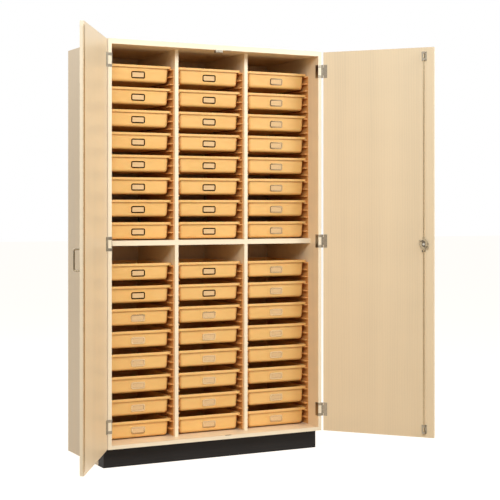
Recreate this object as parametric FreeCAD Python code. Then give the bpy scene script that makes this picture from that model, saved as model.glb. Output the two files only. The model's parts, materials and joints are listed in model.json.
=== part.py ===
import FreeCAD, Part
import math
import os
from FreeCAD import Vector

os.makedirs("parts", exist_ok=True)

# A tall storage cabinet with two hinged doors, three columns of pull-out
# trays above and below a middle shelf, and a rod lock on the right door.
# Millimetres and degrees. X runs left to right, Y from front to back and
# Z up from the floor, with the origin under the middle of the case.

# Case
case_width = 1219.2
case_height = 2133.6
case_depth = 590.55
side_thick = 19.05
top_thick = 25.4
bottom_thick = 19.05
back_thick = 6.35

# Plinth, whose black board and its ends fill the toe notches of the sides
plinth_height = 101.6
toe_recess = 63.5
toe_end_length = 73.5
plinth_board = 19.05

# Shelf and dividers
bay_count = 3
divider_thick = 19.05
shelf_thick = 25.4
shelf_underside = 1104.9
partition_setback = 88.9

# Trays
tray_pitch = 114.3
tray_height = 85.7
tray_length = 432.0
tray_side_gap = 6.0
tray_front_setback = 24.0
tray_floor_gap = 6.35
tray_wall = 2.4
tray_corner_radius = 16.0
tray_draft_inset = 5.0
rim_side_reach = 14.5
rim_end_reach = 9.0
rim_drop = 12.0
rim_edge_radius = 2.6

# Label holder on each tray
label_width = 75.0
label_height = 35.6
label_corner_radius = 9.0
label_thick = 2.2
label_border = 5.5
label_drop = 31.0
label_pad_margin = 12.0
label_pad_thick = 1.0
label_pad_foot = 22.0
card_thick = 0.6
card_fit = 0.3

# Moulded runners on the walls of each bay
runner_rib_reach = 19.0
runner_rib_thick = 6.0
runner_strip_thick = 2.0
runner_foot_gap = 3.0
ribs_per_tray = 3
ribs_below_trays = 1
runner_front_lead = 4.5
runner_tip_radius = 10.0
runner_clearance = 0.3

# Doors
door_thick = 19.05
door_gap = 3.4
door_meeting_gap = 3.0
door_top_reveal = 3.0
left_open_angle = 120.6
right_open_angle = 129.6

# Hinges
hinge_height = 70.0
hinge_leaf_thick = 1.5
hinge_pin_outboard = 5.0
hinge_barrel_radius = 4.2
hinge_pin_radius = 2.4
hinge_pin_fit = 0.05
hinge_knuckles = 5
knuckle_gap = 0.3
hinge_wrap_depth = 28.0
hinge_door_leaf = 29.0
hinge_edge_clearance = 0.5
hinge_top_inset = 103.0
hinge_bottom_inset = 114.0
hinge_screw_inset = 11.5
screw_head_radius = 3.4
screw_head_height = 0.9

# Wire pulls
pull_height = 1063.0
pull_spacing = 96.0
pull_diameter = 8.0
pull_projection = 31.75
pull_edge_distance = 31.75
pull_bend_radius = 9.0

# Meeting strip on the left door
strip_thick = 1.5
strip_cover = 18.0
strip_reach = 16.0
strip_end_gap = 18.0
strip_step = 0.3

# Rod lock on the right door, layered outward from the door's inner face
lock_height = 1107.0
lock_edge_distance = 51.4
lock_plate_radius = 21.0
lock_plate_thick = 2.0
lock_barrel_radius = 9.5
lock_barrel_proud = 3.0
lock_barrel_chamfer = 0.8
lock_spindle_radius = 4.0
keyway_width = 2.0
keyway_length = 8.0
keyway_depth = 2.0
layer_gap = 0.3
arm_thick = 2.5
arm_width = 13.0
arm_reach = 41.5
arm_hook_width = 18.0
arm_hook_length = 12.0
cam_radius = 23.0
cam_thick = 5.0
cam_turn = 90.0
cam_pin_offset = 20.0
cam_pin_radius = 2.5
cam_pin_length = 3.6
spindle_fit = 0.1
nut_across_flats = 12.0
nut_thick = 3.6
foot_thick = 2.5
foot_slot_clearance = 0.7
foot_border = 4.0
rod_diameter = 6.35
upper_foot_clearance = 6.5
lower_foot_clearance = 2.5
rod_tip_clearance = 1.5
rod_tip_chamfer = 1.0

# Guides and keepers of the lock rods
guide_height = 46.0
guide_plate_width = 28.0
guide_plate_thick = 2.0
guide_loop_width = 14.0
guide_loop_height = 11.0
guide_wall = 2.0
guide_fit = 0.1
guide_end_gap = 1.0
guide_screw_spacing = 11.0
keeper_width = 36.0
keeper_depth = 16.0
keeper_thick = 1.5
keeper_hole_radius = 4.5

# Magnetic catch under the top panel
catch_width = 40.0
catch_depth = 18.0
catch_height = 12.0
catch_gap = 0.3
catch_plate_thick = 2.0
catch_plate_margin = 3.0

# Places worked out from the sizes above
front = -case_depth / 2
back = case_depth / 2
half_width = case_width / 2
inner_half = half_width - side_thick
bottom_top = plinth_height + bottom_thick
toe_back = front + toe_recess + toe_end_length
top_underside = case_height - top_thick
inner_back = back - back_thick
shelf_top = shelf_underside + shelf_thick
partition_front = front + partition_setback
bay_width = (2 * inner_half - (bay_count - 1) * divider_thick) / bay_count
bay_step = bay_width + divider_thick
tray_front = partition_front + tray_front_setback
tray_rim_width = bay_width - 2 * tray_side_gap
door_bottom = plinth_height
door_top = case_height - door_top_reveal
door_inner = front - door_gap
door_outer = door_inner - door_thick
door_edge = door_meeting_gap / 2
pin_y = front - door_gap / 2
pin_x = half_width + hinge_pin_outboard
lock_x = door_edge + lock_edge_distance
tiers = [(bottom_top, shelf_underside, "lower"), (shelf_top, top_underside, "upper")]
bay_names = ["left", "centre", "right"]


def box(x0, x1, y0, y1, z0, z1):
    return Part.makeBox(x1 - x0, y1 - y0, z1 - z0, Vector(x0, y0, z0))


def rounded_wire(width, length, radius, cx, cy, z):
    """A rectangle with round corners, level at height z, as one closed wire."""
    x = width / 2 - radius
    y = length / 2 - radius
    c = radius * math.cos(math.radians(45))
    edges = []
    centres = [(x, y), (-x, y), (-x, -y), (x, -y)]
    for i in range(4):
        px, py = centres[i]
        turn = [(1, 0), (0, 1), (-1, 0), (0, -1)]
        (ax, ay), (bx, by) = turn[i], turn[(i + 1) % 4]
        start = Vector(cx + px + radius * ax, cy + py + radius * ay, z)
        middle = Vector(cx + px + c * (ax + bx), cy + py + c * (ay + by), z)
        end = Vector(cx + px + radius * bx, cy + py + radius * by, z)
        edges.append(Part.Arc(start, middle, end).toShape())
        qx, qy = centres[(i + 1) % 4]
        following = Vector(cx + qx + radius * bx, cy + qy + radius * by, z)
        edges.append(Part.LineSegment(end, following).toShape())
    return Part.Wire(edges)


def rounded_prism(width, length, radius, cx, cy, z0, z1):
    face = Part.Face(rounded_wire(width, length, radius, cx, cy, z0))
    return face.extrude(Vector(0, 0, z1 - z0))


def edges_at_height(shape, z):
    return [e for e in shape.Edges if all(abs(v.Z - z) < 0.01 for v in e.Vertexes)]


def flat_face(points):
    return Part.Face(Part.makePolygon(points + [points[0]]))


def drafted_tub(bottom, top, radius, cy, z0, z1):
    """A block that widens upward, with its corners and its bottom edges rounded."""
    rings = []
    for size, z in ((bottom, z0), (top, z1)):
        x = size[0] / 2
        y = size[1] / 2
        rings.append([Vector(-x, cy - y, z), Vector(x, cy - y, z),
                      Vector(x, cy + y, z), Vector(-x, cy + y, z)])
    low, high = rings
    faces = [flat_face(low[::-1]), flat_face(high)]
    for i in range(4):
        j = (i + 1) % 4
        faces.append(flat_face([low[i], low[j], high[j], high[i]]))
    block = Part.makeSolid(Part.makeShell(faces))
    rim = edges_at_height(block, z1)
    rounded = [e for e in block.Edges if not any(e.isSame(r) for r in rim)]
    return block.makeFillet(radius, rounded)


def side_panel(x0):
    """A side that stands on the floor, notched at its foot in front for the toes."""
    panel = box(x0, x0 + side_thick, front, back, 0, case_height)
    notch = box(x0, x0 + side_thick, front, toe_back, 0, plinth_height)
    return panel.cut(notch)


def case_panels():
    sides = [side_panel(-half_width), side_panel(inner_half)]
    top = box(-inner_half, inner_half, front, inner_back, top_underside, case_height)
    bottom = box(-inner_half, inner_half, front, inner_back, plinth_height, bottom_top)
    rear = box(-inner_half, inner_half, inner_back, back, plinth_height, case_height)
    for z in (top_underside, bottom_top - keeper_thick):
        recess = box(lock_x - keeper_width / 2, lock_x + keeper_width / 2,
                     front, front + keeper_depth, z, z + keeper_thick)
        top = top.cut(recess)
        bottom = bottom.cut(recess)
    hole = Part.makeCylinder(keeper_hole_radius, case_height, Vector(lock_x, rod_y(), 0))
    return Part.makeCompound(sides + [top.cut(hole), bottom.cut(hole), rear])


def partitions():
    shelf = box(-inner_half, inner_half, partition_front, inner_back, shelf_underside, shelf_top)
    solids = [shelf]
    for z0, z1, _ in tiers:
        for i in range(1, bay_count):
            x = -inner_half + i * bay_step - divider_thick
            solids.append(box(x, x + divider_thick, partition_front, inner_back, z0, z1))
    return Part.makeCompound(solids)


def plinth():
    """The toe board with its two ends, a rear rail between the sides, and a middle rail."""
    y0 = front + toe_recess
    y1 = y0 + plinth_board
    y2 = back - plinth_board
    rail = plinth_board / 2
    boards = [box(-half_width, half_width, y0, y1, 0, plinth_height),
              box(-half_width, -inner_half, y1, toe_back, 0, plinth_height),
              box(inner_half, half_width, y1, toe_back, 0, plinth_height),
              box(-inner_half, inner_half, y2, back, 0, plinth_height),
              box(-rail, rail, y1, y2, 0, plinth_height)]
    return Part.makeCompound(boards)


def bay_centre(bay):
    return -inner_half + bay_width / 2 + bay * bay_step


def tray_body_sizes():
    """Outer width and length of a tray's tub at its bottom and at its top."""
    top = (tray_rim_width - 2 * rim_side_reach, tray_length - 2 * rim_end_reach)
    bottom = (top[0] - 2 * tray_draft_inset, top[1] - 2 * tray_draft_inset)
    return bottom, top


def tray_shell():
    """One tray, its floor at z 0 and the front of its rim at y 0."""
    cy = tray_length / 2
    bottom, top = tray_body_sizes()
    draft = tray_draft_inset * tray_wall / tray_height
    inner_top = [s - 2 * tray_wall for s in top]
    inner_bottom = [s - 2 * (tray_wall - draft) for s in bottom]
    inner_radius = tray_corner_radius - tray_wall
    tub = drafted_tub(bottom, top, tray_corner_radius, cy, 0, tray_height)
    cavity = drafted_tub(inner_bottom, inner_top, inner_radius, cy, tray_wall, tray_height)
    rim = rounded_prism(tray_rim_width, tray_length, tray_corner_radius, 0, cy,
                        tray_height - rim_drop, tray_height)
    rim = rim.makeFillet(rim_edge_radius, edges_at_height(rim, tray_height))
    under = rounded_prism(tray_rim_width - 2 * tray_wall, tray_length - 2 * tray_wall, inner_radius,
                          0, cy, tray_height - rim_drop, tray_height - tray_wall)
    shell = tub.fuse([rim.cut(under), label_pad(bottom, top)]).cut(cavity)
    return shell.removeSplitter()


def label_pad(bottom, top):
    """A shallow raised field on the tray's front wall, from its foot up into the rim."""
    cy = tray_length / 2
    width = label_width + 2 * label_pad_margin
    shallow = [(s[0], s[1] + 2 * label_pad_thick) for s in (bottom, top)]
    tub = drafted_tub(shallow[0], shallow[1], tray_corner_radius, cy, 0, tray_height)
    field = box(-width / 2, width / 2, 0, cy, label_pad_foot, tray_height - rim_drop / 2)
    return tub.common(field)


def tray_label():
    """Frame and card of the label holder, laid on the sloping field of the tray's front."""
    lean = math.degrees(math.atan2(tray_draft_inset, tray_height))
    drop = label_drop + label_height / 2
    window = (label_width - 2 * label_border, label_height - 2 * label_border)
    inner_radius = label_corner_radius - label_border
    frame = rounded_prism(label_width, label_height, label_corner_radius, 0, 0, 0, label_thick)
    opening = rounded_prism(window[0], window[1], inner_radius, 0, 0, 0, label_thick)
    card = rounded_prism(window[0] - 2 * card_fit, window[1] - 2 * card_fit, inner_radius,
                         0, 0, 0, card_thick)
    wall = rim_end_reach - label_pad_thick + drop * tray_draft_inset / tray_height
    place = Vector(0, wall, tray_height - drop)
    pieces = [frame.cut(opening), card]
    for piece in pieces:
        piece.rotate(Vector(0, 0, 0), Vector(1, 0, 0), 90 + lean)
        piece.translate(place)
    return pieces


def runner_outline(wall_x, toward, foot, rib_tops, y):
    """The comb's outline seen from the front, from the wall out to the rib tips."""
    face = wall_x + toward * runner_strip_thick
    tip = wall_x + toward * runner_rib_reach
    points = [(wall_x, foot), (face, foot)]
    for high in rib_tops:
        low = high - runner_rib_thick
        points += [(face, low), (tip, low), (tip, high), (face, high)]
    points += [(wall_x, rib_tops[-1]), (wall_x, foot)]
    return Part.makePolygon([Vector(x, y, z) for x, z in points])


def tray_rows(z0, z1):
    """How many trays a bay takes between its floor and its ceiling."""
    return int((z1 - z0 - tray_floor_gap) // tray_pitch)


def wall_runner(wall_x, toward, foot, first_rim_rib, rows):
    """A strip with level ribs on one wall of a bay, from its foot to the top tray's rib."""
    pitch = tray_pitch / ribs_per_tray
    last = (rows - 1) * ribs_per_tray
    rib_tops = [first_rim_rib + k * pitch for k in range(-ribs_below_trays, last + 1)]
    y0 = tray_front - runner_front_lead
    y1 = tray_front + tray_length
    comb = Part.Face(runner_outline(wall_x, toward, foot, rib_tops, y0)).extrude(Vector(0, y1 - y0, 0))
    tip_x = wall_x + toward * runner_rib_reach
    corner_x = min(tip_x, tip_x - toward * runner_tip_radius)
    high = rib_tops[-1]
    corner = box(corner_x, corner_x + runner_tip_radius, y0, y0 + runner_tip_radius, foot, high)
    round_tip = Part.makeCylinder(runner_tip_radius, high - foot,
                                  Vector(tip_x - toward * runner_tip_radius, y0 + runner_tip_radius, foot))
    return comb.cut(corner.cut(round_tip)).removeSplitter()


def tray_runners():
    solids = []
    for z0, z1, _ in tiers:
        rows = tray_rows(z0, z1)
        first_rim_rib = z0 + tray_floor_gap + tray_height - rim_drop - runner_clearance
        for bay in range(bay_count):
            for side in (-1, 1):
                wall_x = bay_centre(bay) + side * bay_width / 2
                foot = z0 + runner_foot_gap
                solids.append(wall_runner(wall_x, -side, foot, first_rim_rib, rows))
    return Part.makeCompound(solids)


def with_flush_screws(plate, places, direction):
    """The plate and its flat screw heads, let in level with its surface at each place."""
    heads = [Part.makeCylinder(screw_head_radius, screw_head_height, place, direction * -1)
             for place in places]
    return [plate.cut(Part.makeCompound(heads))] + heads


def leaf_screw_heights(middle):
    spacing = hinge_height / 3
    return [middle - spacing, middle, middle + spacing]


def hinge_heights():
    return [door_bottom + hinge_bottom_inset, shelf_underside + shelf_thick / 2, door_top - hinge_top_inset]


def knuckle_spans(middle, first):
    """Heights of every second knuckle of a barrel, from its knuckle number first."""
    step = hinge_height / hinge_knuckles
    low = middle - hinge_height / 2
    return [(low + k * step + knuckle_gap / 2, low + (k + 1) * step - knuckle_gap / 2)
            for k in range(first, hinge_knuckles, 2)]


def knuckles(middle, first, y0, y1, bore):
    """Barrel pieces of one leaf at the right-hand pin, each with its tab."""
    pieces = []
    for z0, z1 in knuckle_spans(middle, first):
        tab = box(half_width + hinge_edge_clearance, pin_x, y0, y1, z0, z1)
        barrel = Part.makeCylinder(hinge_barrel_radius, z1 - z0, Vector(pin_x, pin_y, z0))
        hole = Part.makeCylinder(bore, z1 - z0, Vector(pin_x, pin_y, z0))
        pieces.append(tab.fuse(barrel).cut(hole))
    return pieces


def case_leaf(middle):
    """Leaf over the side panel's front edge, wrapped onto its inner face, with the pin."""
    z0 = middle - hinge_height / 2
    z1 = middle + hinge_height / 2
    y0 = front - hinge_leaf_thick
    inner = inner_half - hinge_leaf_thick
    plate = box(inner, half_width + hinge_edge_clearance, y0, front, z0, z1)
    wrap = box(inner, inner_half, front, front + hinge_wrap_depth, z0, z1)
    leaf = plate.fuse([wrap] + knuckles(middle, 0, y0, front, hinge_pin_radius))
    pin = Part.makeCylinder(hinge_pin_radius, hinge_height, Vector(pin_x, pin_y, z0))
    places = [Vector(inner, front + hinge_wrap_depth / 2, z) for z in leaf_screw_heights(middle)]
    return with_flush_screws(leaf.removeSplitter(), places, Vector(-1, 0, 0)) + [pin]


def door_leaf(middle):
    """Leaf on the right door's inner face, for the closed door."""
    z0 = middle - hinge_height / 2
    z1 = middle + hinge_height / 2
    y1 = door_inner + hinge_leaf_thick
    inner = half_width - hinge_door_leaf
    plate = box(inner, half_width + hinge_edge_clearance, door_inner, y1, z0, z1)
    leaf = plate.fuse(knuckles(middle, 1, door_inner, y1, hinge_pin_radius + hinge_pin_fit))
    places = [Vector(inner + hinge_screw_inset, y1, z) for z in leaf_screw_heights(middle)]
    return with_flush_screws(leaf.removeSplitter(), places, Vector(0, 1, 0))


def mirrored(shapes):
    return [s.mirror(Vector(0, 0, 0), Vector(1, 0, 0)) for s in shapes]


def rod_y():
    """Distance into the case of the lock rods' centre line with the door closed."""
    return door_inner + foot_layer() + foot_thick / 2


def arm_layer():
    return lock_plate_thick + layer_gap


def cam_layer():
    return arm_layer() + arm_thick


def foot_layer():
    return cam_layer() + cam_thick + layer_gap


def keeper_plate(z):
    plate = box(lock_x - keeper_width / 2, lock_x + keeper_width / 2,
                front, front + keeper_depth, z, z + keeper_thick)
    hole = Part.makeCylinder(keeper_hole_radius, keeper_thick, Vector(lock_x, rod_y(), z))
    return plate.cut(hole)


def magnetic_catch():
    """Catch at the middle of the top panel, facing the meeting strip."""
    y0 = door_inner + strip_step + strip_thick + catch_gap
    y1 = y0 + catch_depth
    z1 = top_underside
    z0 = z1 - catch_height
    plate = box(-catch_width / 2 + catch_plate_margin, catch_width / 2 - catch_plate_margin,
                y0, y0 + catch_plate_thick, z0 + catch_plate_margin, z1 - catch_plate_margin)
    body = box(-catch_width / 2, catch_width / 2, front, y1, z0, z1)
    return [body.cut(plate), plate]


def case_hardware():
    right = []
    for middle in hinge_heights():
        right += case_leaf(middle)
    solids = right + mirrored(right)
    solids += [keeper_plate(top_underside), keeper_plate(bottom_top - keeper_thick)]
    return Part.makeCompound(solids + magnetic_catch())


def wire_pull(x):
    """A bent round bar, its feet on the door's outer face and its bar upright."""
    y0 = door_outer
    y1 = door_outer - pull_projection
    z0 = pull_height - pull_spacing / 2
    z1 = pull_height + pull_spacing / 2
    r = pull_bend_radius
    c = r * (1 - math.cos(math.radians(45)))
    corners = [Vector(x, y0, z0), Vector(x, y1 + r, z0), Vector(x, y1 + c, z0 + c),
               Vector(x, y1, z0 + r), Vector(x, y1, z1 - r), Vector(x, y1 + c, z1 - c),
               Vector(x, y1 + r, z1), Vector(x, y0, z1)]
    edges = [Part.LineSegment(corners[0], corners[1]).toShape(),
             Part.Arc(corners[1], corners[2], corners[3]).toShape(),
             Part.LineSegment(corners[3], corners[4]).toShape(),
             Part.Arc(corners[4], corners[5], corners[6]).toShape(),
             Part.LineSegment(corners[6], corners[7]).toShape()]
    circle = Part.Wire(Part.makeCircle(pull_diameter / 2, corners[0], Vector(0, -1, 0)))
    return Part.Wire(edges).makePipeShell([circle], True, False)


def meeting_strip():
    """Flat strip on the left door's inner face that closes the gap between the doors."""
    z0 = door_bottom + strip_end_gap
    z1 = door_top - strip_end_gap
    fixed = box(-door_edge - strip_cover, -door_edge, door_inner, door_inner + strip_thick, z0, z1)
    free = box(-door_edge - strip_thick, -door_edge + strip_reach,
               door_inner + strip_step, door_inner + strip_step + strip_thick, z0, z1)
    return fixed.fuse(free).removeSplitter()


def left_door():
    return box(-half_width, -door_edge, door_outer, door_inner, door_bottom, door_top)


def right_door():
    panel = box(door_edge, half_width, door_outer, door_inner, door_bottom, door_top)
    bore = Part.makeCylinder(lock_barrel_radius, door_thick,
                             Vector(lock_x, door_outer, lock_height), Vector(0, 1, 0))
    return panel.cut(bore)


def door_leaves():
    leaves = []
    for middle in hinge_heights():
        leaves += door_leaf(middle)
    return leaves


def left_door_hardware():
    pull = wire_pull(-door_edge - pull_edge_distance)
    return Part.makeCompound(mirrored(door_leaves()) + [pull, meeting_strip()])


def lock_cylinder():
    """Round barrel through the door with a keyway, a mounting plate and a spindle."""
    inward = Vector(0, 1, 0)
    y0 = door_outer - lock_barrel_proud
    barrel = Part.makeCylinder(lock_barrel_radius, door_inner - y0, Vector(lock_x, y0, lock_height), inward)
    outer_rim = [e for e in barrel.Edges if all(abs(v.Y - y0) < 0.01 for v in e.Vertexes)]
    barrel = barrel.makeChamfer(lock_barrel_chamfer, outer_rim)
    keyway = box(lock_x - keyway_width / 2, lock_x + keyway_width / 2, y0, y0 + keyway_depth,
                 lock_height - keyway_length / 2, lock_height + keyway_length / 2)
    plate = Part.makeCylinder(lock_plate_radius, lock_plate_thick,
                              Vector(lock_x, door_inner, lock_height), inward)
    spindle_length = foot_layer() + nut_thick
    spindle = Part.makeCylinder(lock_spindle_radius, spindle_length,
                                Vector(lock_x, door_inner, lock_height), inward)
    return barrel.cut(keyway).fuse([plate, spindle])


def lock_nut():
    y0 = door_inner + foot_layer()
    across_corners = nut_across_flats / math.cos(math.radians(30))
    corners = []
    for k in range(7):
        a = math.radians(60 * k)
        corners.append(Vector(lock_x + across_corners / 2 * math.cos(a), y0,
                              lock_height + across_corners / 2 * math.sin(a)))
    nut = Part.Face(Part.makePolygon(corners)).extrude(Vector(0, nut_thick, 0))
    bore = Part.makeCylinder(lock_spindle_radius, nut_thick, Vector(lock_x, y0, lock_height), Vector(0, 1, 0))
    return nut.cut(bore)


def rod_guide(z0):
    """Plate on the door with two loops around a lock rod."""
    z1 = z0 + guide_height
    plate = box(lock_x - guide_plate_width / 2, lock_x + guide_plate_width / 2,
                door_inner, door_inner + guide_plate_thick, z0, z1)
    loop_top = rod_y() + rod_diameter / 2 + guide_fit + guide_wall
    loops = [box(lock_x - guide_loop_width / 2, lock_x + guide_loop_width / 2,
                 door_inner, loop_top, z, z + guide_loop_height)
             for z in (z0, z1 - guide_loop_height)]
    bore = Part.makeCylinder(rod_diameter / 2 + guide_fit, guide_height, Vector(lock_x, rod_y(), z0))
    guide = plate.fuse(loops).cut(bore).removeSplitter()
    middle = z0 + guide_height / 2
    places = [Vector(lock_x, door_inner + guide_plate_thick, z)
              for z in (middle - guide_screw_spacing / 2, middle + guide_screw_spacing / 2)]
    return with_flush_screws(guide, places, Vector(0, 1, 0))


def upper_guide_bottom():
    return top_underside - guide_end_gap - guide_height


def lower_guide_bottom():
    return bottom_top + guide_end_gap


def right_door_hardware():
    solids = door_leaves() + [wire_pull(door_edge + pull_edge_distance), lock_cylinder(), lock_nut()]
    solids += rod_guide(upper_guide_bottom()) + rod_guide(lower_guide_bottom())
    return Part.makeCompound(solids)


def cam_pin_places():
    """The two pins at rest, as offsets toward the free edge and upward."""
    a = math.radians(cam_turn / 2)
    u = cam_pin_offset * math.cos(a)
    w = cam_pin_offset * math.sin(a)
    return (u, -w), (-u, w)


def lock_cam():
    """Keyed disc with two pins for the rods, and an arm that hangs down at rest."""
    inward = Vector(0, 1, 0)
    y_arm = door_inner + arm_layer()
    y_cam = door_inner + cam_layer()
    y_face = y_cam + cam_thick
    centre = Vector(lock_x, y_cam, lock_height)
    disc = Part.makeCylinder(cam_radius, cam_thick, centre, inward)
    half = arm_width / 2
    tip = lock_height - arm_reach
    arm = box(lock_x - half, lock_x + half, y_arm, y_arm + arm_thick, tip, lock_height)
    hook = box(lock_x - half, lock_x - half + arm_hook_width, y_arm, y_arm + arm_thick,
               tip, tip + arm_hook_length)
    pins = [Part.makeCylinder(cam_pin_radius, cam_pin_length,
                              Vector(lock_x - u, y_face, lock_height + w), inward)
            for u, w in cam_pin_places()]
    bore = Part.makeCylinder(lock_spindle_radius + spindle_fit, arm_thick + cam_thick,
                             Vector(lock_x, y_arm, lock_height), inward)
    return disc.fuse([arm, hook] + pins).cut(bore).removeSplitter()


def rod_foot(side, cam_clearance):
    """Slotted foot of a lock rod, and the height where the round rod starts beyond the cam.

    Side is 1 for the upper rod and -1 for the lower. Points are offsets toward the
    door's free edge and away from the lock, from the middle of the slot.
    """
    u_far = cam_pin_offset
    u_near = cam_pin_offset * math.cos(math.radians(cam_turn / 2))
    reach = cam_pin_radius + foot_slot_clearance
    slot_near = u_near - reach
    slot_far = u_far + reach
    edge_near = slot_near - foot_border / 2
    edge_far = slot_far + foot_border / 2
    half_slot = cam_pin_radius + foot_slot_clearance
    half_foot = half_slot + foot_border
    neck = rod_diameter
    _, pin_w = cam_pin_places()[0]
    length = cam_radius + cam_clearance + neck - pin_w
    jog = length - 2 * neck
    turn = jog - 1.5 * neck
    outline = [(edge_near, -half_foot), (edge_far, -half_foot), (edge_far, half_foot),
               (edge_far - foot_border, half_foot + foot_border), (edge_far - foot_border, turn),
               (neck, length - neck), (neck, length), (-neck, length), (-neck, jog), (edge_near, turn)]
    slot = [(slot_near, -half_slot), (slot_far, -half_slot), (slot_far, half_slot), (slot_near, half_slot)]
    y0 = door_inner + foot_layer()

    def plate(points):
        places = [Vector(lock_x - side * u, y0, lock_height + side * (pin_w + w)) for u, w in points]
        return Part.Face(Part.makePolygon(places + places[:1])).extrude(Vector(0, foot_thick, 0))

    return plate(outline).cut(plate(slot)), lock_height + side * (pin_w + length - neck)


def lock_rod(side, cam_clearance, tip):
    foot, start = rod_foot(side, cam_clearance)
    low = min(start, tip)
    rod = Part.makeCylinder(rod_diameter / 2, abs(tip - start), Vector(lock_x, rod_y(), low))
    ends = [e for e in rod.Edges if all(abs(v.Z - tip) < 0.01 for v in e.Vertexes)]
    rod = rod.makeChamfer(rod_tip_chamfer, ends)
    return foot.fuse(rod).removeSplitter()


def opened(shape, side):
    """The closed door's piece turned to the open door's place."""
    angle = right_open_angle if side > 0 else -left_open_angle
    turned = shape.copy()
    turned.rotate(Vector(side * pin_x, pin_y, 0), Vector(0, 0, 1), angle)
    return turned


def write(name, shape):
    shape.exportStep(f"parts/{name}.step")


def write_trays():
    pieces = [tray_shell()] + tray_label()
    for z0, z1, tier_name in tiers:
        for bay in range(bay_count):
            for row in range(tray_rows(z0, z1)):
                z = z0 + tray_floor_gap + row * tray_pitch
                place = Vector(bay_centre(bay), tray_front, z)
                tray = Part.makeCompound([p.translated(place) for p in pieces])
                write(f"{tier_name}_{bay_names[bay]}_tray_{row + 1}", tray)


write("case_panels", case_panels())
write("partitions", partitions())
write("plinth", plinth())
write("tray_runners", tray_runners())
write("case_hardware", case_hardware())
write("left_door", opened(left_door(), -1))
write("left_door_hardware", opened(left_door_hardware(), -1))
write("right_door", opened(right_door(), 1))
write("right_door_hardware", opened(right_door_hardware(), 1))
write("lock_cam", opened(lock_cam(), 1))
write("upper_lock_rod", opened(lock_rod(1, upper_foot_clearance, top_underside - rod_tip_clearance), 1))
write("lower_lock_rod", opened(lock_rod(-1, lower_foot_clearance, bottom_top + rod_tip_clearance), 1))
write_trays()
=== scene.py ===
"""Looks of a tall storage cabinet with pull-out trays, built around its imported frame.

Metres and the cabinet's own axes: X to its right, Y to its back and Z up from the floor.
"""
import json
import math

import bmesh
import bpy
from mathutils import Matrix, Vector


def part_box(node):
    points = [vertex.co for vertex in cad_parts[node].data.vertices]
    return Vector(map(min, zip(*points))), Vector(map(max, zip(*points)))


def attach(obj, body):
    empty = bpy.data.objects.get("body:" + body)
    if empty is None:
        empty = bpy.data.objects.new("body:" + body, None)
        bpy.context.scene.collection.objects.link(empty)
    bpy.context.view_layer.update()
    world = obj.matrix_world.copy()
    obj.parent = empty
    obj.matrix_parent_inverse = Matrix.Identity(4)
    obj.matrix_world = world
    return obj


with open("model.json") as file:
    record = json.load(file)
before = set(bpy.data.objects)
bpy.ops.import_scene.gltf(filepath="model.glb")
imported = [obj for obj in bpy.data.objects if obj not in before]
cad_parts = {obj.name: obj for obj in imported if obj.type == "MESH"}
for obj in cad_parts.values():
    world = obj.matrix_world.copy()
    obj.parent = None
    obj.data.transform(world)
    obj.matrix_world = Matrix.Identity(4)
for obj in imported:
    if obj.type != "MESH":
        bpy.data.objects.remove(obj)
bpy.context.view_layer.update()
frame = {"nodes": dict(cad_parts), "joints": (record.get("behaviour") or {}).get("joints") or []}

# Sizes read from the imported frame
case_low, case_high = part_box("case_panels")
plinth_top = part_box("plinth")[1].z
front = case_low.y
back = case_high.y

# Sizes of the cabinet's boards
board = 0.01905
back_thick = 0.00635
top_thick = 0.0254
shelf_thick = 0.0254
shelf_underside = 1.1049
door_gap = 0.0034
meeting_gap = 0.003

# How far from a plane a face's middle still counts as lying in it
near = 0.0005

# Sizes and places of hinges, lock and guides
hinge_height = 0.070
lowest_hinge_above_door = 0.114
middle_hinge_height = 1.1176
highest_hinge_below_door = 0.103
hinge_zone = 0.04
hinge_leaf = 0.029
hinge_screw_inset = 0.0115
hinge_leaf_thick = 0.0015
hinge_knuckle = 0.014
hinge_bar = 0.0185
hinge_bar_inset = 0.0033
hinge_tab_gap = 0.0005
cut_margin = 0.0003
hinge_wrap_depth = 0.028
lock_edge_distance = 0.0514
lock_height = 1.107
lock_plate_radius = 0.022
guide_height = 0.046
guide_plate_thick = 0.002
guide_screw_spacing = 0.011
guide_end_gap = 0.001
screw_radius = 0.0034
back_screw_radius = 0.004
back_screw_edge = 0.010

# Label holder on a tray's front wall
label_width = 0.075
label_height = 0.0356
label_border = 0.0055
label_drop = 0.031
label_wall = 0.008
label_proud = 0.003
tray_draft = 0.005

# Camera fitted to the photograph
focal_length = 91.963
camera_place = Vector((-2.8868, -6.2070, 1.3013))
camera_yaw = 27.403
camera_shift = -0.0864


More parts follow.
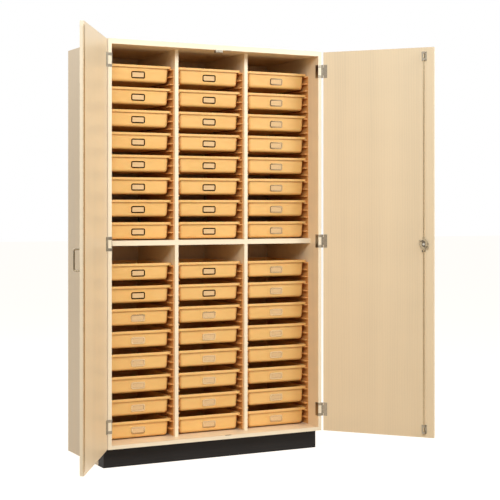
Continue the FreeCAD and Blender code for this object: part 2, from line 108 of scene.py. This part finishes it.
class Graph:
    """A material and its nodes, with short calls to add and join them."""

    def __init__(self, name, owner=None):
        self.owner = owner or bpy.data.materials.new(name)
        self.owner.use_nodes = True
        self.tree = self.owner.node_tree
        self.tree.nodes.clear()

    def add(self, kind, **settings):
        node = self.tree.nodes.new(kind)
        for key, value in settings.items():
            setattr(node, key, value)
        return node

    def join(self, source, target):
        self.tree.links.new(source, target)

    def feed(self, socket, value):
        """Gives an input a value, or joins it where the value is another node's output."""
        if isinstance(value, bpy.types.NodeSocket):
            self.join(value, socket)
        else:
            socket.default_value = value

    def set(self, node, **values):
        """Feeds the inputs that the values name."""
        for key, value in values.items():
            self.feed(node.inputs[key.replace("_", " ")], value)
        return node

    def place(self, scale, offset=(0, 0, 0)):
        """Coordinates of the piece in its own frame, stretched by a scale per metre."""
        coordinates = self.add("ShaderNodeTexCoord").outputs["Object"]
        mapping = self.add("ShaderNodeMapping")
        return self.set(mapping, Vector=coordinates, Scale=scale, Location=offset).outputs[0]

    def noise(self, scale, detail=3.0, roughness=0.5, offset=(0, 0, 0)):
        """Noise from 0 to 1 with its own scale along X, Y and Z."""
        node = self.add("ShaderNodeTexNoise")
        place = self.place(scale, offset)
        return self.set(node, Vector=place, Scale=1.0, Detail=detail, Roughness=roughness).outputs[0]

    def math(self, operation, a, b=0.0, c=0.0):
        node = self.add("ShaderNodeMath", operation=operation)
        for socket, value in zip(node.inputs, (a, b, c)):
            self.feed(socket, value)
        return node.outputs[0]

    def spread(self, value, low, high, lowest, highest):
        """Maps a value from one range to another, held at its ends."""
        node = self.add("ShaderNodeMapRange")
        self.set(node, Value=value, From_Min=low, From_Max=high, To_Min=lowest, To_Max=highest)
        return node.outputs[0]

    def tones(self, value, stops):
        """Colour ramp through (place, colour) stops."""
        node = self.add("ShaderNodeValToRGB")
        self.join(value, node.inputs[0])
        elements = node.color_ramp.elements
        while len(elements) < len(stops):
            elements.new(0.5)
        for element, (place, colour) in zip(elements, stops):
            element.position = place
            element.color = colour
        return node.outputs[0]

    def blend(self, share, a, b, kind="MIX"):
        node = self.add("ShaderNodeMix", data_type="RGBA", blend_type=kind)
        for index, value in ((0, share), (6, a), (7, b)):
            self.feed(node.inputs[index], value)
        return node.outputs[2]

    def relief(self, height, distance, strength=1.0):
        node = self.add("ShaderNodeBump")
        self.set(node, Height=height, Distance=distance, Strength=strength)
        return node.outputs[0]

    def surface(self, colour, roughness, normal=None, **values):
        """Principled surface joined to the output."""
        shader = self.add("ShaderNodeBsdfPrincipled")
        self.set(shader, Base_Color=colour, Roughness=roughness, **values)
        if normal is not None:
            self.join(normal, shader.inputs["Normal"])
        output = self.add("ShaderNodeOutputMaterial")
        self.join(shader.outputs[0], output.inputs["Surface"])
        return self.owner


def srgb(red, green, blue):
    """Linear colour of an sRGB colour given from 0 to 255."""
    linear = []
    for value in (red, green, blue):
        share = value / 255
        linear.append(share / 12.92 if share <= 0.04045 else ((share + 0.055) / 1.055) ** 2.4)
    return (*linear, 1.0)


def shade(colour, factor):
    return (*(channel * factor for channel in colour[:3]), 1.0)


def along_grain(across, along, axis):
    """Noise scale per metre for a board whose grain runs along the axis X or Z."""
    scale = [across, across, across]
    scale["XYZ".index(axis)] = along
    return tuple(scale)


def maple(name, colour, axis, figure=1.0):
    """Pale maple laminate: soft bands, cross figure, growth arches, fine lines and flecks."""
    graph = Graph(name)
    bands = graph.noise(along_grain(9.0, 0.55, axis), 3.0, 0.5)
    lines = graph.noise(along_grain(85.0, 1.7, axis), 4.0, 0.6)
    pores = graph.noise(along_grain(520.0, 14.0, axis), 2.0, 0.6)
    flecks = graph.noise(along_grain(260.0, 55.0, axis), 1.0, 0.5, (3.1, 7.7, 1.3))
    figured = graph.noise(along_grain(1.8, 5.5, axis), 2.0, 0.45, (0.4, 2.6, 5.2))
    rings = graph.add("ShaderNodeTexWave", wave_type="RINGS", rings_direction="SPHERICAL")
    arches = graph.place(along_grain(1.0, 0.055, axis), (0.21, 0.13, 0.0))
    graph.set(rings, Vector=arches, Scale=26.0, Distortion=5.0, Detail=2.0, Detail_Scale=1.2)
    tone = graph.math("MULTIPLY", bands, 0.48)
    tone = graph.math("MULTIPLY_ADD", figured, 0.25, tone)
    tone = graph.math("MULTIPLY_ADD", lines, 0.08, tone)
    tone = graph.math("MULTIPLY_ADD", rings.outputs["Fac"], 0.11, tone)
    tone = graph.math("MULTIPLY_ADD", pores, 0.08, tone)
    low = 1.0 - 0.075 * figure
    high = 1.0 + 0.045 * figure
    wood = graph.tones(tone, [(0.28, shade(colour, low)), (0.5, colour), (0.72, shade(colour, high))])
    fleck = graph.spread(flecks, 0.66, 0.76, 0.0, 0.11 * figure)
    warm = (colour[0] * 0.9, colour[1] * 0.78, colour[2] * 0.62, 1.0)
    wood = graph.blend(fleck, wood, warm)
    gloss = graph.spread(bands, 0.2, 0.8, 0.36, 0.5)
    height = graph.math("MULTIPLY_ADD", pores, 0.7, lines)
    normal = graph.relief(height, 0.00004, 0.25)
    return graph.surface(wood, gloss, normal, Coat_Weight=0.12, Coat_Roughness=0.25)


def black_laminate():
    """Near-black laminate of the plinth, faintly dusty and scuffed near the floor."""
    graph = Graph("black_laminate")
    grain = graph.noise((6.0, 90.0, 240.0), 4.0, 0.6)
    cloud = graph.noise((9.0, 9.0, 22.0), 5.0, 0.65, (1.7, 0.0, 4.2))
    scuffs = graph.noise((16.0, 30.0, 260.0), 3.0, 0.7, (8.0, 2.0, 0.0))
    colour = srgb(27, 22, 20)
    base = graph.tones(grain, [(0.3, shade(colour, 0.8)), (0.7, shade(colour, 1.25))])
    dust = graph.spread(cloud, 0.45, 0.85, 0.0, 0.1)
    base = graph.blend(dust, base, srgb(76, 69, 62))
    marks = graph.spread(scuffs, 0.68, 0.8, 0.0, 0.2)
    base = graph.blend(marks, base, srgb(66, 59, 54))
    gloss = graph.spread(cloud, 0.3, 0.8, 0.5, 0.7)
    normal = graph.relief(grain, 0.0001, 0.3)
    return graph.surface(base, gloss, normal, Specular_IOR_Level=0.25)


def moulded_plastic(name, colour, seed, through=0.12):
    """Warm tan moulded plastic with a fine grained skin that lets a little light in."""
    graph = Graph(name)
    cloud = graph.noise((3.1, 2.3, 4.7), 2.0, 0.5, (seed, seed, seed))
    flow = graph.noise((16.0, 16.0, 60.0), 3.0, 0.5, (seed, 0.0, 0.0))
    skin = graph.noise((1500.0, 1500.0, 1500.0), 2.0, 0.6)
    tone = graph.math("MULTIPLY_ADD", flow, 0.35, graph.math("MULTIPLY", cloud, 0.65))
    deep = (colour[0] * 0.94, colour[1] * 0.9, colour[2] * 0.82, 1.0)
    pale = (min(1.0, colour[0] * 1.04), colour[1] * 1.06, colour[2] * 1.12, 1.0)
    base = graph.tones(tone, [(0.3, deep), (0.5, colour), (0.7, pale)])
    gloss = graph.spread(flow, 0.3, 0.7, 0.34, 0.44)
    normal = graph.relief(skin, 0.00004, 0.35)
    return graph.surface(base, gloss, normal, Subsurface_Weight=through, Subsurface_Scale=0.006)


def metal(name, colour, roughness, streak=(30.0, 30.0, 900.0), wear=0.12):
    """Drawn or plated metal with faint streaks along its length and small cloudy patches."""
    graph = Graph(name)
    lines = graph.noise(streak, 3.0, 0.6)
    cloud = graph.noise((140.0, 140.0, 140.0), 3.0, 0.6, (4.0, 1.0, 2.0))
    base = graph.tones(cloud, [(0.3, shade(colour, 1.0 - wear)), (0.7, shade(colour, 1.0 + wear / 2))])
    gloss = graph.spread(lines, 0.25, 0.75, roughness * 0.8, roughness * 1.25)
    return graph.surface(base, gloss, graph.relief(lines, 0.00002, 0.3), Metallic=1.0)


def card_paper():
    """Blank card of a label holder."""
    graph = Graph("label_card")
    fibre = graph.noise((900.0, 900.0, 700.0), 3.0, 0.6)
    base = graph.tones(fibre, [(0.3, srgb(216, 176, 124)), (0.7, srgb(232, 194, 144))])
    return graph.surface(base, 0.75, graph.relief(fibre, 0.00003, 0.3))


def painted_recess_shade():
    """Painted shade: near-black walls and bottom of a screw's cross recess, where shade falls into the
    hollow.
    """
    graph = Graph("screw_recess_painted_shade")
    grit = graph.noise((800.0, 800.0, 800.0), 2.0, 0.5)
    base = graph.tones(grit, [(0.3, srgb(30, 25, 20)), (0.7, srgb(52, 45, 38))])
    return graph.surface(base, 0.6, None, Metallic=0.5)


maple_colour = srgb(241, 216, 179)
edge_colour = srgb(247, 228, 198)
tray_colour = srgb(238, 186, 112)
runner_colour = srgb(222, 160, 92)
nickel_colour = srgb(158, 147, 130)

maple_upright = maple("maple_upright", maple_colour, "Z")
maple_level = maple("maple_level", maple_colour, "X")
edge_upright = maple("edge_band_upright", edge_colour, "Z", 0.5)
edge_level = maple("edge_band_level", edge_colour, "X", 0.5)
plinth_black = black_laminate()
tray_plastic = moulded_plastic("tray_plastic", tray_colour, 1.0)
runner_plastic = moulded_plastic("runner_plastic", runner_colour, 6.0, 0.05)
label_metal = metal("label_metal", srgb(200, 174, 138), 0.06, (900.0, 60.0, 60.0), 0.06)
label_card = card_paper()
hinge_nickel = metal("hinge_nickel", nickel_colour, 0.33)
pull_nickel = metal("pull_nickel", srgb(138, 122, 98), 0.2)
rod_steel = metal("rod_steel", srgb(182, 164, 134), 0.26)
cam_steel = metal("cam_steel", srgb(112, 100, 84), 0.3, (300.0, 300.0, 300.0))
lock_nickel = metal("lock_nickel", srgb(206, 198, 184), 0.2, (300.0, 300.0, 300.0))
strip_metal = metal("strip_metal", srgb(196, 170, 130), 0.42)
# Painted shade for the screws' cross recesses
recess_painted_shade = painted_recess_shade()


def door_turn(side):
    """Matrix that carries a closed door's points to the open door of the rest pose, -1 for the left one."""
    name = "right_door_hinge" if side > 0 else "left_door_hinge"
    joint = next(j for j in frame["joints"] if j["name"] == name)
    pin = Vector((joint["pos_m"][0], joint["pos_m"][1], 0.0))
    angle = -math.radians(joint["range_deg"][0]) * joint["axis"][2]
    return Matrix.Translation(pin) @ Matrix.Rotation(angle, 4, "Z") @ Matrix.Translation(-pin)


door_hinges = {-1: door_turn(-1), 1: door_turn(1)}


def closed_point(point, side):
    """Where a point of an open door lies when that door is closed."""
    return door_hinges[side].inverted() @ point


def paint(obj, materials, choose):
    """Gives each face of a node one of the materials, by its middle and its outward direction."""
    mesh = obj.data
    mesh.materials.clear()
    for material in materials:
        mesh.materials.append(material)
    for polygon in mesh.polygons:
        polygon.material_index = choose(polygon.center, polygon.normal)


def paint_case():
    """Upright boards have upright grain, level ones level grain, and front edges a band."""
    inner = case_high.x - board
    before_back = back - back_thick - near / 10
    bottom_face = plinth_top + board + near
    top_face = case_high.z - top_thick - near

    def choose(middle, normal):
        level = abs(middle.x) < inner and middle.y < before_back and (
            middle.z < bottom_face or middle.z > top_face)
        if normal.y < -0.9 and middle.y < front + 2 * near:
            return 3 if level else 2
        return 1 if level else 0

    paint(frame["nodes"]["case_panels"], [maple_upright, maple_level, edge_upright, edge_level], choose)


def paint_partitions():
    """The shelf has level grain and the dividers upright grain, with a band on their front edges."""
    def choose(middle, normal):
        level = shelf_underside - near < middle.z < shelf_underside + shelf_thick + near
        if normal.y < -0.9:
            return 3 if level else 2
        return 1 if level else 0

    paint(frame["nodes"]["partitions"], [maple_upright, maple_level, edge_upright, edge_level], choose)


def paint_door(name, side):
    """A door's faces have upright grain and its four edges a band."""
    def choose(middle, normal):
        turned = door_hinges[side].to_3x3().inverted() @ normal
        return 1 if abs(turned.y) < 0.5 else 0

    paint(frame["nodes"][name], [maple_upright, edge_upright], choose)


def paint_left_hardware():
    """Hinge leaves, the pull on the outer face, and the strip along the free edge."""
    outer = front - door_gap - board

    def choose(middle, normal):
        point = closed_point(middle, -1)
        if point.y < outer + near:
            return 1
        return 0 if point.x < hinge_zone - case_high.x else 2

    paint(frame["nodes"]["left_door_hardware"], [hinge_nickel, pull_nickel, strip_metal], choose)


def paint_right_hardware():
    """Hinge leaves and guides, the pull on the outer face, and the lock with its plate."""
    outer = front - door_gap - board
    lock_x = meeting_gap / 2 + lock_edge_distance

    def choose(middle, normal):
        point = closed_point(middle, 1)
        if math.hypot(point.x - lock_x, point.z - lock_height) < lock_plate_radius:
            return 2
        return 1 if point.y < outer + near else 0

    paint(frame["nodes"]["right_door_hardware"], [hinge_nickel, pull_nickel, lock_nickel], choose)


def paint_tray(name):
    """The tub is plastic, the label holder's frame metal and its card paper."""
    low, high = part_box(name)
    middle_x = (low.x + high.x) / 2
    label_z = high.z - label_drop - label_height / 2
    lean = math.atan2(tray_draft, high.z - low.z)
    wall_y = low.y + label_wall
    half = Vector((label_width / 2 + near, label_height / 2 + near))
    window = Vector((label_width / 2 - label_border, label_height / 2 - label_border))

    def choose(middle, normal):
        across = middle.x - middle_x
        down = middle.z - label_z
        wall = wall_y + (high.z - middle.z) * math.tan(lean)
        proud = (wall - middle.y) * math.cos(lean)
        if abs(across) > half.x or abs(down) > half.y or not near / 10 < proud < label_proud:
            return 0
        inside = abs(across) < window.x - near / 5 and abs(down) < window.y - near / 5
        return 2 if inside else 1

    paint(frame["nodes"][name], [tray_plastic, label_metal, label_card], choose)


def paint_whole(name, material):
    paint(frame["nodes"][name], [material], lambda middle, normal: 0)


def soften(name, width):
    """Rounds a board's edges a little, after joining its flat faces."""
    obj = frame["nodes"][name]
    flat = obj.modifiers.new("flat_faces", "DECIMATE")
    flat.decimate_type = "DISSOLVE"
    flat.angle_limit = math.radians(1.0)
    flat.delimit = {"MATERIAL"}
    bevel = obj.modifiers.new("soft_edges", "BEVEL")
    bevel.width = width
    bevel.segments = 2
    bevel.limit_method = "ANGLE"
    bevel.angle_limit = math.radians(40.0)
    bevel.harden_normals = True


def screw_cap(name, radius, proud, place, direction, turn):
    """Low screw head with a cross recess, its rim on the surface at place."""
    mesh = bpy.data.meshes.new(name)
    shape = bmesh.new()
    steps = 24
    face_radius = 0.82 * radius
    rim = []
    face_edge = []
    for i in range(steps):
        a = 2 * math.pi * i / steps
        rim.append(shape.verts.new((radius * math.cos(a), radius * math.sin(a), 0.0)))
        face_edge.append(shape.verts.new((face_radius * math.cos(a), face_radius * math.sin(a), proud)))
    long = 0.52 * radius
    short = 0.13 * radius
    corners = []
    for x, y in ((1, 0), (0, 1), (-1, 0), (0, -1)):
        for arm, across in ((long, -short), (long, short), (short, short)):
            corners.append((arm * x - across * y, arm * y + across * x))
    cross = [shape.verts.new((x, y, proud)) for x, y in corners]
    sunk = [shape.verts.new((x * 0.85, y * 0.85, 0.15 * proud)) for x, y in corners]
    edges = []
    for ring in (face_edge, cross):
        for i in range(len(ring)):
            edges.append(shape.edges.new((ring[i], ring[(i + 1) % len(ring)])))
    bmesh.ops.triangle_fill(shape, edges=edges, use_beauty=True, use_dissolve=False)
    for i in range(steps):
        j = (i + 1) % steps
        shape.faces.new((rim[i], rim[j], face_edge[j], face_edge[i]))
    # The cross's walls and bottom take the second material, a near-black painted shade of the recess.
    for i in range(len(cross)):
        j = (i + 1) % len(cross)
        wall = shape.faces.new((sunk[i], sunk[j], cross[j], cross[i]))
        wall.material_index = 1
    shape.faces.new(sunk).material_index = 1
    bmesh.ops.recalc_face_normals(shape, faces=shape.faces)
    shape.to_mesh(mesh)
    shape.free()
    mesh.materials.append(hinge_nickel)
    mesh.materials.append(recess_painted_shade)
    obj = bpy.data.objects.new(name, mesh)
    bpy.context.scene.collection.objects.link(obj)
    aim = direction.to_track_quat("Z", "Y").to_matrix().to_4x4()
    obj.matrix_world = Matrix.Translation(place) @ aim @ Matrix.Rotation(turn, 4, "Z")
    return obj


def cut_boxes(name, boxes):
    """Cuts a node by boxes, each a size, a place and a turn about Z, and keeps its sharp edges."""
    join_distance = 0.000002
    sharp_angle = math.radians(32.0)
    group = bpy.data.node_groups.new(name + "_cuts", "GeometryNodeTree")
    group.interface.new_socket("Geometry", in_out="INPUT", socket_type="NodeSocketGeometry")
    group.interface.new_socket("Geometry", in_out="OUTPUT", socket_type="NodeSocketGeometry")
    source = group.nodes.new("NodeGroupInput")
    target = group.nodes.new("NodeGroupOutput")
    boolean = group.nodes.new("GeometryNodeMeshBoolean")
    boolean.operation = "DIFFERENCE"
    boolean.solver = "EXACT"
    boolean.inputs["Self Intersection"].default_value = True
    boolean.inputs["Hole Tolerant"].default_value = True
    merged = group.nodes.new("GeometryNodeMergeByDistance")
    merged.inputs["Distance"].default_value = join_distance
    bare = group.nodes.new("GeometryNodeRemoveAttribute")
    bare.inputs["Name"].default_value = "custom_normal"
    group.links.new(source.outputs[0], bare.inputs[0])
    group.links.new(bare.outputs[0], merged.inputs[0])
    group.links.new(merged.outputs[0], boolean.inputs["Mesh 1"])
    for size, place, turn in boxes:
        block = group.nodes.new("GeometryNodeMeshCube")
        block.inputs["Size"].default_value = size
        moved = group.nodes.new("GeometryNodeTransform")
        moved.inputs["Translation"].default_value = place
        moved.inputs["Rotation"].default_value = (0.0, 0.0, turn)
        group.links.new(block.outputs["Mesh"], moved.inputs["Geometry"])
        group.links.new(moved.outputs[0], boolean.inputs["Mesh 2"])
    angle = group.nodes.new("GeometryNodeInputMeshEdgeAngle")
    sharp = group.nodes.new("FunctionNodeCompare")
    sharp.operation = "GREATER_THAN"
    sharp.inputs[1].default_value = sharp_angle
    group.links.new(angle.outputs["Unsigned Angle"], sharp.inputs[0])
    edges = group.nodes.new("GeometryNodeSetShadeSmooth")
    edges.domain = "EDGE"
    edges.inputs["Shade Smooth"].default_value = False
    group.links.new(boolean.outputs["Mesh"], edges.inputs[0])
    group.links.new(sharp.outputs[0], edges.inputs["Selection"])
    group.links.new(edges.outputs[0], target.inputs[0])
    frame["nodes"][name].modifiers.new("cuts", "NODES").node_group = group


def hinge_middles():
    """Heights of the three hinges' middles, two from the door's ends and one at the shelf."""
    low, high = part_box("right_door")
    return (low.z + lowest_hinge_above_door, middle_hinge_height, high.z - highest_hinge_below_door)


def shape_case_leaves():
    """Leaves the side's front edge bare between each hinge's upper and lower arm."""
    inner = case_high.x - board
    outer = case_high.x + hinge_tab_gap
    size = (outer - inner, hinge_leaf_thick + 2 * cut_margin, hinge_height - 2 * hinge_knuckle)
    boxes = []
    for middle in hinge_middles():
        for side in (-1, 1):
            place = (side * (inner + outer) / 2, front - hinge_leaf_thick / 2, middle)
            boxes.append((size, place, 0.0))
    cut_boxes("case_hardware", boxes)


def shape_door_leaves(side, name):
    """Makes each door leaf a bar with one link to its knuckles."""
    turned = door_hinges[side]
    angle = turned.to_euler().z
    outer = case_high.x + hinge_tab_gap
    bar_outer = case_high.x - hinge_bar_inset
    bar_inner = bar_outer - hinge_bar
    leaf_inner = case_high.x - hinge_leaf - near
    y = front - door_gap + hinge_leaf_thick / 2
    thick = hinge_leaf_thick + 2 * cut_margin
    boxes = []
    for middle in hinge_middles():
        place = turned @ Vector((side * (leaf_inner + bar_inner) / 2, y, middle))
        boxes.append(((bar_inner - leaf_inner, thick, hinge_height + 0.002), place, angle))
        for k in (-1, 1):
            z = middle + k * (hinge_height / 2 - hinge_knuckle / 2 + 0.001)
            place = turned @ Vector((side * (bar_outer + outer) / 2, y, z))
            boxes.append(((outer - bar_outer, thick, hinge_knuckle + 0.002), place, angle))
    cut_boxes(name, boxes)


def add_screw(name, body, radius, proud, place, direction, turn):
    """A screw's head that rides on a body of the cabinet."""
    cap = screw_cap(name, radius, proud, place, direction, turn)
    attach(cap, body)


def add_hinge_screws():
    """Three screws in each case leaf's wrapped side and three in each door leaf."""
    inner = case_high.x - board
    leaf_face = front - door_gap + hinge_leaf_thick
    leaf_inner = case_high.x - hinge_leaf
    spacing = hinge_height / 3
    for i, middle in enumerate(hinge_middles()):
        for k in (-1, 0, 1):
            z = middle + k * spacing
            for side, word in ((-1, "left"), (1, "right")):
                turn = 0.7 * i + 1.9 * k + 0.4 * side
                place = Vector((side * (inner - hinge_leaf_thick), front + hinge_wrap_depth / 2, z))
                name = f"{word}_case_hinge_{i + 1}_screw_{k + 2}"
                add_screw(name, "case", screw_radius, 0.0004, place, Vector((-side, 0, 0)), turn)
                turned = door_hinges[side]
                place = turned @ Vector((side * (leaf_inner + hinge_screw_inset), leaf_face, z))
                direction = turned.to_3x3() @ Vector((0, 1, 0))
                name = f"{word}_door_hinge_{i + 1}_screw_{k + 2}"
                add_screw(name, f"{word}_door", screw_radius, 0.00025, place, direction, turn + 1.1)


def add_guide_screws():
    """Two screws on each of the right door's guides, between its loops."""
    turned = door_hinges[1]
    face = front - door_gap + guide_plate_thick
    across = meeting_gap / 2 + lock_edge_distance
    low = plinth_top + board + guide_end_gap + guide_height / 2
    high = case_high.z - top_thick - guide_end_gap - guide_height / 2
    for word, middle in (("lower", low), ("upper", high)):
        for k in (-1, 1):
            place = turned @ Vector((across, face, middle + k * guide_screw_spacing / 2))
            direction = turned.to_3x3() @ Vector((0, 1, 0))
            name = f"{word}_guide_screw_{(k + 3) // 2}"
            add_screw(name, "right_door", screw_radius, 0.0004, place, direction, 0.6 + k)


def add_back_screws():
    """Screws around the back panel's edge, seen only from behind."""
    rows = 9
    columns = 5
    low_z = plinth_top + back_screw_edge
    high_z = case_high.z - top_thick / 2
    half = case_high.x - board - back_screw_edge
    places = []
    for i in range(rows):
        z = low_z + (high_z - low_z) * i / (rows - 1)
        places += [(-half, z), (half, z)]
    for i in range(1, columns - 1):
        x = -half + 2 * half * i / (columns - 1)
        places += [(x, low_z), (x, high_z)]
    direction = Vector((0, 1, 0))
    for i, (x, z) in enumerate(places):
        place = Vector((x, back, z))
        add_screw(f"back_screw_{i + 1}", "case", back_screw_radius, 0.0004, place, direction, 0.9 * i)


def lamp(name, place, aim, size, power, colour):
    """Rectangular lamp at a place, turned to the point that it lights."""
    data = bpy.data.lights.new(name, "AREA")
    data.shape = "RECTANGLE"
    data.size, data.size_y = size
    data.energy = power
    data.color = colour
    obj = bpy.data.objects.new(name, data)
    bpy.context.scene.collection.objects.link(obj)
    obj.location = place
    obj.rotation_euler = (Vector(aim) - Vector(place)).to_track_quat("-Z", "Y").to_euler()


def set_lamps():
    """Two soft lamps high in front, a weak one low at the right, and one behind."""
    lamp("key", (-2.4, -4.5, 4.1), (0.0, -0.3, 1.7), (3.0, 2.0), 198.0, (0.88, 0.95, 1.0))
    lamp("fill", (3.2, -4.1, 3.9), (-0.4, -0.5, 1.6), (2.4, 2.0), 158.0, (0.88, 0.95, 1.0))
    lamp("side", (4.4, -4.6, 1.3), (-0.3, -0.2, 0.9), (1.6, 1.2), 36.0, (1.0, 0.95, 0.85))
    lamp("rear", (-2.5, 4.0, 4.2), (0.0, 0.3, 1.2), (3.0, 2.0), 90.0, (1.0, 1.0, 1.0))


def seen_directly(graph):
    """1 for rays that show the background: from the camera, off metal or through glass."""
    path = graph.add("ShaderNodeLightPath")
    seen = graph.math("MAXIMUM", path.outputs["Is Camera Ray"], path.outputs["Is Glossy Ray"])
    return graph.math("MAXIMUM", seen, path.outputs["Is Transmission Ray"])


def set_world():
    """Even white light, weak on the cabinet and full where the background itself is seen."""
    world = bpy.data.worlds.new("studio")
    bpy.context.scene.world = world
    graph = Graph("studio", world)
    background = graph.add("ShaderNodeBackground")
    strength = graph.spread(seen_directly(graph), 0.0, 1.0, 0.3, 1.0)
    graph.set(background, Color=(1.0, 1.0, 1.0, 1.0), Strength=strength)
    output = graph.add("ShaderNodeOutputWorld")
    graph.join(background.outputs[0], output.inputs["Surface"])


def flat_sheet(name, width, height):
    """A rectangle in the plane of X and Y around the origin."""
    mesh = bpy.data.meshes.new(name)
    x = width / 2
    y = height / 2
    mesh.from_pydata([(-x, -y, 0), (x, -y, 0), (x, y, 0), (-x, y, 0)], [], [(0, 1, 2, 3)])
    sheet = bpy.data.objects.new(name, mesh)
    bpy.context.scene.collection.objects.link(sheet)
    return sheet


def add_floor():
    """Pale floor that shows as white and takes the cabinet's shadow."""
    floor = flat_sheet("floor", 80.0, 80.0)
    graph = Graph("floor_paint")
    diffuse = graph.add("ShaderNodeBsdfDiffuse")
    graph.set(diffuse, Color=(0.47, 0.38, 0.26, 1.0))
    glow = graph.add("ShaderNodeEmission")
    graph.set(glow, Strength=graph.spread(seen_directly(graph), 0.0, 1.0, 0.0, 0.87))
    both = graph.add("ShaderNodeAddShader")
    graph.join(diffuse.outputs[0], both.inputs[0])
    graph.join(glow.outputs[0], both.inputs[1])
    output = graph.add("ShaderNodeOutputMaterial")
    graph.join(both.outputs[0], output.inputs["Surface"])
    floor.data.materials.append(graph.owner)


def add_flag(name, place, aim, width, height):
    """A black board beside the studio's lamps, which only shiny metal mirrors."""
    flag = flat_sheet(name, width, height)
    flag.location = place
    flag.rotation_euler = (Vector(aim) - Vector(place)).to_track_quat("-Z", "Y").to_euler()
    flag.visible_camera = False
    flag.visible_diffuse = False
    flag.visible_transmission = False
    flag.visible_shadow = False
    graph = Graph(name + "_cloth")
    cloth = graph.add("ShaderNodeBsdfDiffuse")
    graph.set(cloth, Color=(0.012, 0.011, 0.01, 1.0))
    output = graph.add("ShaderNodeOutputMaterial")
    graph.join(cloth.outputs[0], output.inputs["Surface"])
    flag.data.materials.append(graph.owner)


def set_camera():
    """Level camera at the photograph's place, with its height set by the shift."""
    data = bpy.data.cameras.new("camera")
    data.sensor_width = 36.0
    data.lens = focal_length
    data.shift_y = camera_shift
    camera = bpy.data.objects.new("camera", data)
    bpy.context.scene.collection.objects.link(camera)
    camera.location = camera_place
    camera.rotation_euler = (math.radians(90.0), 0.0, -math.radians(camera_yaw))
    bpy.context.scene.camera = camera


set_camera()
set_world()
set_lamps()
add_floor()
add_flag("front_flag", (1.35, -3.65, 1.45), (1.35, 0.0, 1.45), 1.8, 2.86)
add_flag("camera_flag", (-3.7, -7.6, 1.5), (0.0, -0.3, 1.5), 2.6, 2.9)

paint_case()
paint_partitions()
paint_whole("plinth", plinth_black)
paint_whole("tray_runners", runner_plastic)
paint_whole("case_hardware", hinge_nickel)
paint_door("left_door", -1)
paint_door("right_door", 1)
paint_left_hardware()
paint_right_hardware()
paint_whole("lock_cam", cam_steel)
paint_whole("upper_lock_rod", rod_steel)
paint_whole("lower_lock_rod", rod_steel)
for node in frame["nodes"]:
    if "_tray_" in node:
        paint_tray(node)
for node in ("case_panels", "partitions", "left_door", "right_door", "plinth"):
    soften(node, 0.0006)
shape_case_leaves()
shape_door_leaves(-1, "left_door_hardware")
shape_door_leaves(1, "right_door_hardware")
add_hinge_screws()
add_guide_screws()
add_back_screws()

bpy.context.scene.view_settings.view_transform = "Standard"
